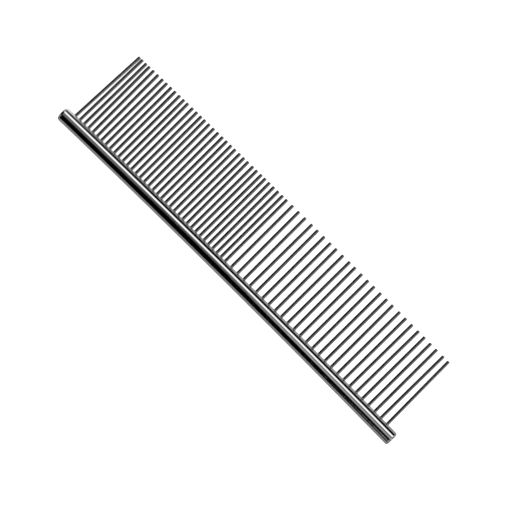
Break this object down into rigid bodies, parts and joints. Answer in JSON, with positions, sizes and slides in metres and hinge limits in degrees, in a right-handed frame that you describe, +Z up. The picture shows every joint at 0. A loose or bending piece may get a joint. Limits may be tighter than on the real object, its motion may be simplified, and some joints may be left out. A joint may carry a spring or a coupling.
{
  "type": "steel grooming comb",
  "caption": "Straight pet grooming comb: a round steel bar with one row of straight round steel pins pressed into its side, close-set in one half and wide-set in the other.",
  "frame": {"origin": "centre of the whole comb's outline seen from above, at the height of the table that it lies on", "axes": "+X along the bar towards the wide-set (coarse) pins, +Y from the bar towards the pin tips, +Z up; the comb lies on the underside of its bar and on its pin tips"},
  "size_m": [0.1906, 0.0434, 0.0064],
  "materials": {
    "bar_steel": "bright plated steel rod, polished",
    "fine_pin_steel": "bright plated drawn steel wire",
    "coarse_pin_steel": "bright plated drawn steel wire"
  },
  "bodies": {
    "root": {"bar": "bar_steel", "fine_pin_01": "fine_pin_steel", "fine_pin_02": "fine_pin_steel", "fine_pin_03": "fine_pin_steel", "fine_pin_04": "fine_pin_steel", "fine_pin_05": "fine_pin_steel", "fine_pin_06": "fine_pin_steel", "fine_pin_07": "fine_pin_steel", "fine_pin_08": "fine_pin_steel", "fine_pin_09": "fine_pin_steel", "fine_pin_10": "fine_pin_steel", "fine_pin_11": "fine_pin_steel", "fine_pin_12": "fine_pin_steel", "fine_pin_13": "fine_pin_steel", "fine_pin_14": "fine_pin_steel", "fine_pin_15": "fine_pin_steel", "fine_pin_16": "fine_pin_steel", "fine_pin_17": "fine_pin_steel", "fine_pin_18": "fine_pin_steel", "fine_pin_19": "fine_pin_steel", "fine_pin_20": "fine_pin_steel", "fine_pin_21": "fine_pin_steel", "fine_pin_22": "fine_pin_steel", "fine_pin_23": "fine_pin_steel", "fine_pin_24": "fine_pin_steel", "fine_pin_25": "fine_pin_steel", "fine_pin_26": "fine_pin_steel", "fine_pin_27": "fine_pin_steel", "fine_pin_28": "fine_pin_steel", "fine_pin_29": "fine_pin_steel", "fine_pin_30": "fine_pin_steel", "fine_pin_31": "fine_pin_steel", "fine_pin_32": "fine_pin_steel", "fine_pin_33": "fine_pin_steel", "fine_pin_34": "fine_pin_steel", "fine_pin_35": "fine_pin_steel", "fine_pin_36": "fine_pin_steel", "coarse_pin_01": "coarse_pin_steel", "coarse_pin_02": "coarse_pin_steel", "coarse_pin_03": "coarse_pin_steel", "coarse_pin_04": "coarse_pin_steel", "coarse_pin_05": "coarse_pin_steel", "coarse_pin_06": "coarse_pin_steel", "coarse_pin_07": "coarse_pin_steel", "coarse_pin_08": "coarse_pin_steel", "coarse_pin_09": "coarse_pin_steel", "coarse_pin_10": "coarse_pin_steel", "coarse_pin_11": "coarse_pin_steel", "coarse_pin_12": "coarse_pin_steel", "coarse_pin_13": "coarse_pin_steel", "coarse_pin_14": "coarse_pin_steel", "coarse_pin_15": "coarse_pin_steel", "coarse_pin_16": "coarse_pin_steel", "coarse_pin_17": "coarse_pin_steel", "coarse_pin_18": "coarse_pin_steel", "coarse_pin_19": "coarse_pin_steel", "coarse_pin_20": "coarse_pin_steel", "coarse_pin_pair_21_22": "coarse_pin_steel", "coarse_pin_pair_23_24": "coarse_pin_steel", "coarse_pin_pair_25_26": "coarse_pin_steel"}
  },
  "joints": []
}
